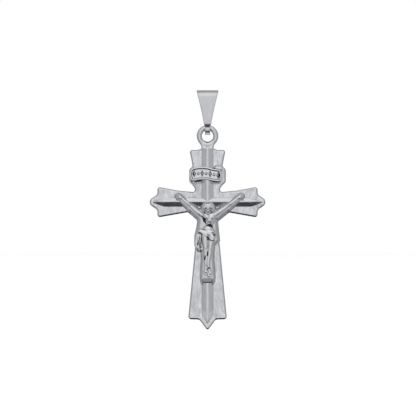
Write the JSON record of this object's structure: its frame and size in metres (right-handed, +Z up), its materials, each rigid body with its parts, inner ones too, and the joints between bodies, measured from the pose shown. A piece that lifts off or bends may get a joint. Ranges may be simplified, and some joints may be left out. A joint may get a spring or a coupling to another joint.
{
  "type": "crucifix pendant",
  "caption": "Small steel crucifix pendant: flared cross with ridge bars, scroll and relief figure, hung by a ring from a folded tapered bail.",
  "frame": {"origin": "axis of the bend at the top of the bail, where the chain runs, at the middle of the bail's width", "axes": "+Z up as it hangs, -Y towards the viewer (decorated front), +X to the viewer's right, along the chain"},
  "size_m": [0.0244, 0.0043, 0.0502],
  "materials": {
    "bail_steel": "satin stainless steel",
    "ring_steel": "polished stainless steel",
    "brushed_steel": "coarsely brushed stainless steel",
    "polished_steel": "smooth polished stainless steel",
    "relief_steel": "polished relief, dark in its hollows"
  },
  "bodies": {
    "bail": {"bail": "bail_steel"},
    "ring": {"hanging_ring": "ring_steel"},
    "cross": {"cross_plate": "brushed_steel", "upright_bar": "polished_steel", "left_arm_bar": "polished_steel", "right_arm_bar": "polished_steel", "titulus_scroll": "relief_steel", "corpus_bed": "polished_steel", "corpus": "relief_steel", "foot_rest": "polished_steel"}
  },
  "joints": [
    {"name": "fore_aft_swing", "type": "hinge", "parent": "bail", "child": "ring", "pos_m": [0, 0, -0.00626], "axis": [1, 0, 0], "range_deg": [-135, 135]},
    {"name": "side_swing", "type": "hinge", "parent": "ring", "child": "cross", "pos_m": [0, 0, -0.00799], "axis": [0, 1, 0], "range_deg": [-100, 100]}
  ]
}
